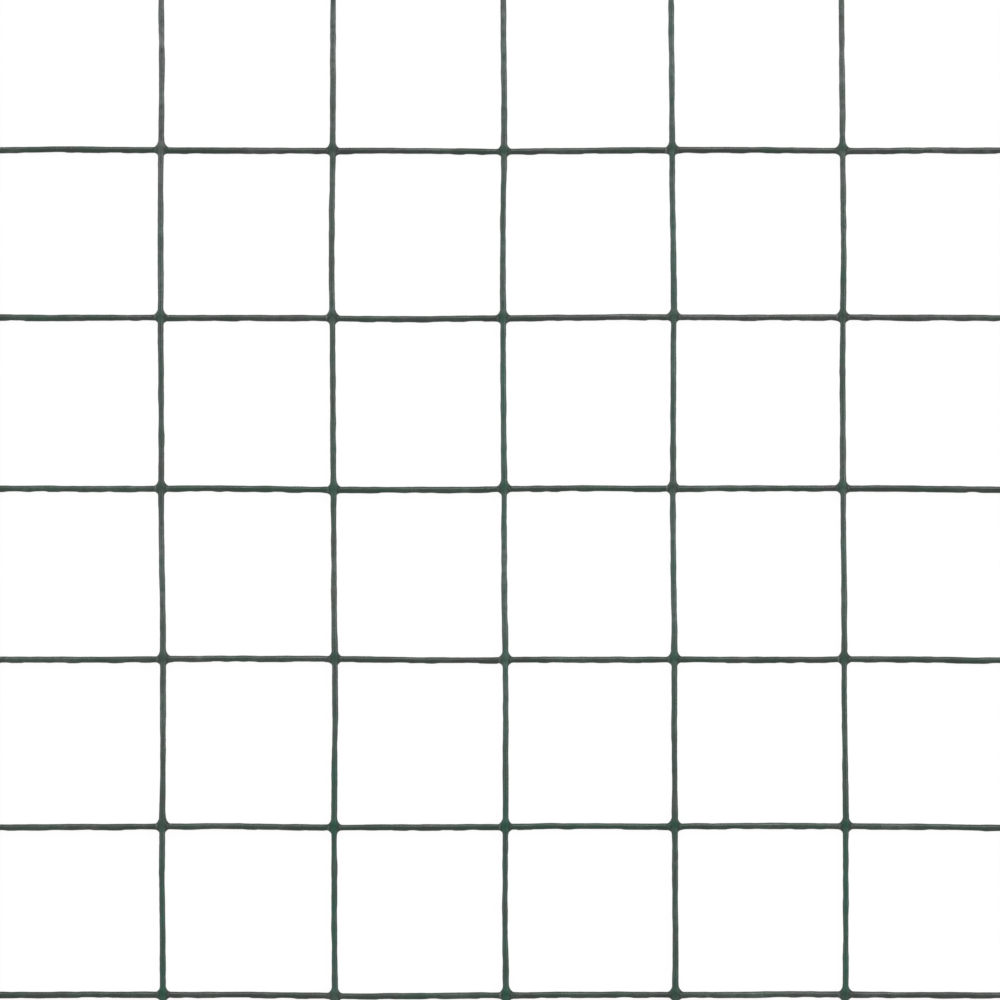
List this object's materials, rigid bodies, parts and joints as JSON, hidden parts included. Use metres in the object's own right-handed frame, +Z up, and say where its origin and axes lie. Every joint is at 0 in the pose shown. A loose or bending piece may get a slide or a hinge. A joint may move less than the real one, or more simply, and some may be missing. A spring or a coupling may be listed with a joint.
{
  "type": "welded wire mesh sheet",
  "caption": "Flat sheet of plastic-coated welded wire mesh with nearly square cells, used for fencing, cages, guards and plant supports.",
  "frame": {"origin": "on the floor under the middle of the sheet, at the underside of the middle line wire", "axes": "+X along the line wires, the long side of the sheet; +Y along the cross wires; +Z up, out of the face that shows the cross wires on top"},
  "size_m": [1.006, 0.501, 0.0026],
  "materials": {
    "green_coating": "satin"
  },
  "bodies": {
    "root": {"welded_mesh_sheet": "green_coating"}
  },
  "joints": []
}
